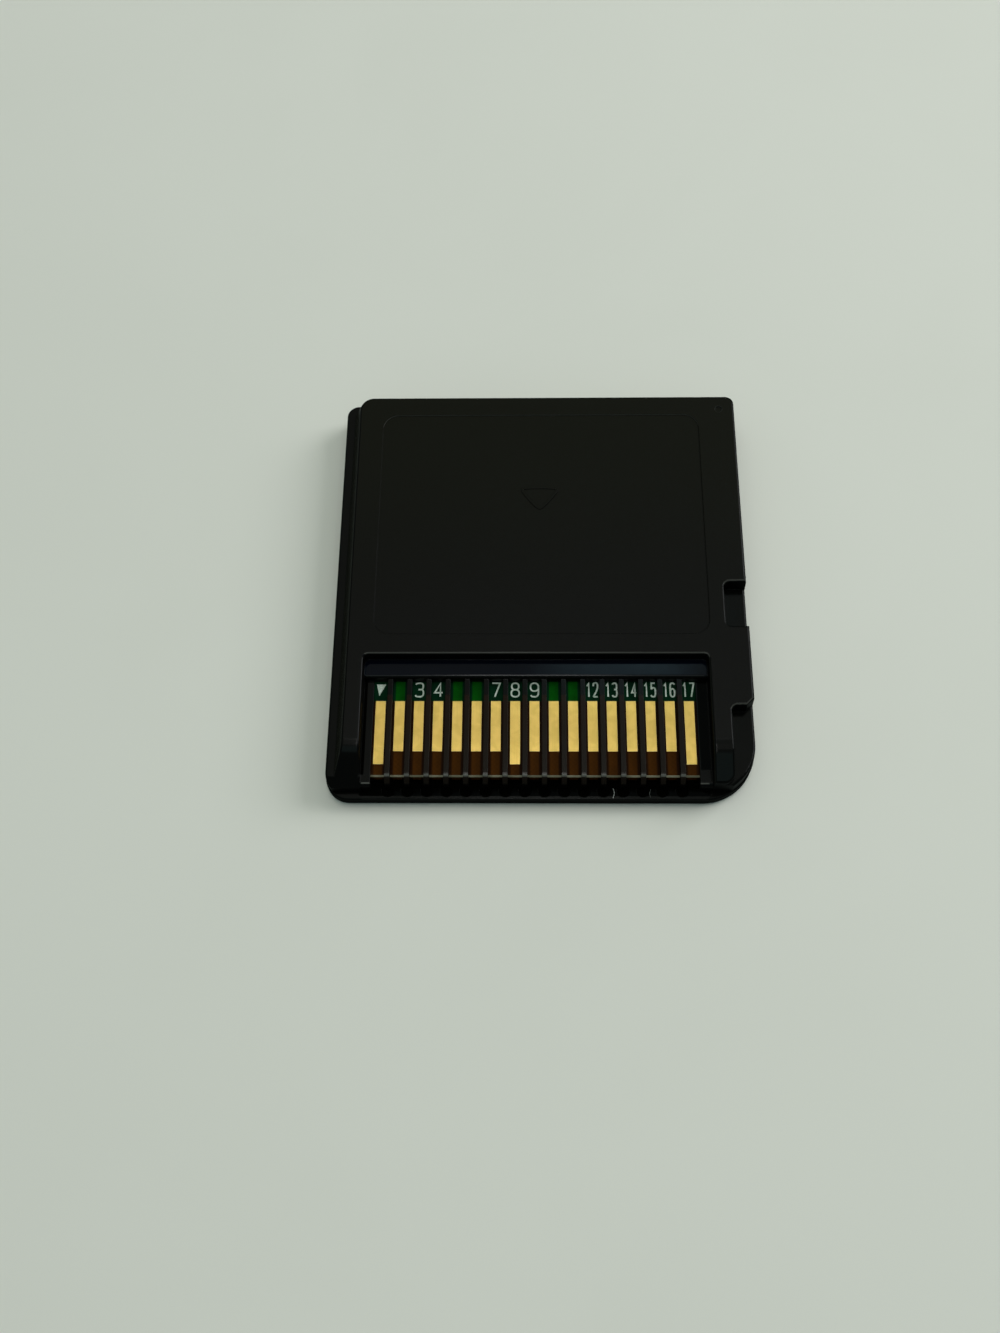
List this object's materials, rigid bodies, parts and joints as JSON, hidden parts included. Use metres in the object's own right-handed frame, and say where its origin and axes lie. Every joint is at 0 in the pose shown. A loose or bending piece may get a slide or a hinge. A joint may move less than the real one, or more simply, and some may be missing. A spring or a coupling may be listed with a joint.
{
  "type": "game cartridge",
  "caption": "Thin black handheld game card: two moulded shells around a circuit board, with a ribbed window over gold edge contacts.",
  "frame": {"origin": "middle of the label face, in the plane that the card lies on", "axes": "+X to the side with the key notches, +Y away from the contact edge, +Z out of the contact side"},
  "size_m": [0.033, 0.035, 0.0038],
  "materials": {
    "shell_black": "fine spark texture, glossier in the window",
    "laminate": "bare glass-fibre laminate",
    "solder_mask": "green solder mask",
    "gold_plate": "gold flash over nickel",
    "silicon": "polished",
    "epoxy": "cast epoxy",
    "chip_plastic": "moulded epoxy",
    "tin": "tin plate",
    "ceramic": "fired ceramic",
    "alumina": "fired ceramic"
  },
  "bodies": {
    "root": {"front_shell": "shell_black", "rear_shell": "shell_black", "circuit_board": "laminate", "solder_mask": "solder_mask", "rom_die": "silicon", "rom_epoxy_cap": "epoxy", "save_chip_body": "chip_plastic", "save_chip_leads": "tin", "capacitor_1": "ceramic", "capacitor_2": "ceramic", "capacitor_3": "ceramic", "resistor_1": "alumina", "resistor_2": "alumina", "chip_end_caps": "tin", "contact_pad_01": "gold_plate", "contact_pad_02": "gold_plate", "contact_pad_03": "gold_plate", "contact_pad_04": "gold_plate", "contact_pad_05": "gold_plate", "contact_pad_06": "gold_plate", "contact_pad_07": "gold_plate", "contact_pad_08": "gold_plate", "contact_pad_09": "gold_plate", "contact_pad_10": "gold_plate", "contact_pad_11": "gold_plate", "contact_pad_12": "gold_plate", "contact_pad_13": "gold_plate", "contact_pad_14": "gold_plate", "contact_pad_15": "gold_plate", "contact_pad_16": "gold_plate", "contact_pad_17": "gold_plate"}
  },
  "joints": []
}
